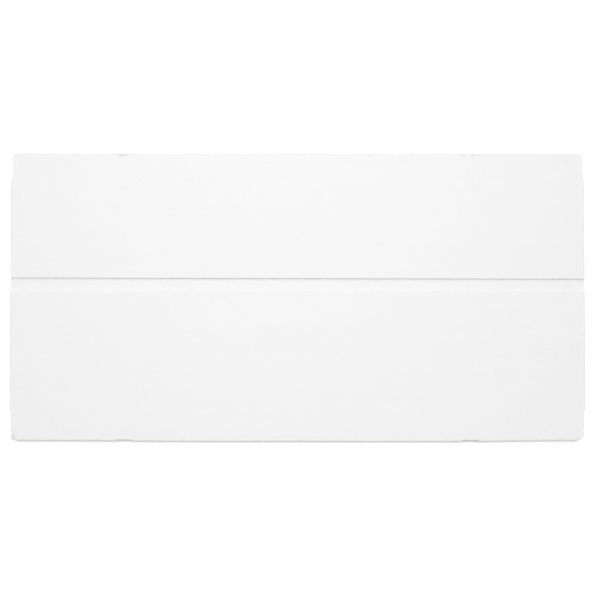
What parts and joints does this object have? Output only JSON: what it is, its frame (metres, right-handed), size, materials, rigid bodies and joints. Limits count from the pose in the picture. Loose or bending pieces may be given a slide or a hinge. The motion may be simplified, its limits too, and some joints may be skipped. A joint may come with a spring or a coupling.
{
  "type": "foam wall panel",
  "caption": "Flat white foam wall board with a shallow groove run through its face from end to end, soft arrises, strap bites in its long edges and pressed-in corners.",
  "frame": {"origin": "on the back, under the middle of the board", "axes": "+X along the board, +Y towards the upper long edge, +Z out of the grooved face"},
  "size_m": [1.2, 0.6, 0.05],
  "materials": {
    "foam": "matt white expanded polystyrene, cut by hot wire, with a faint bead pattern and fine lines along the board"
  },
  "bodies": {
    "root": {"foam_panel": "foam"}
  },
  "joints": []
}
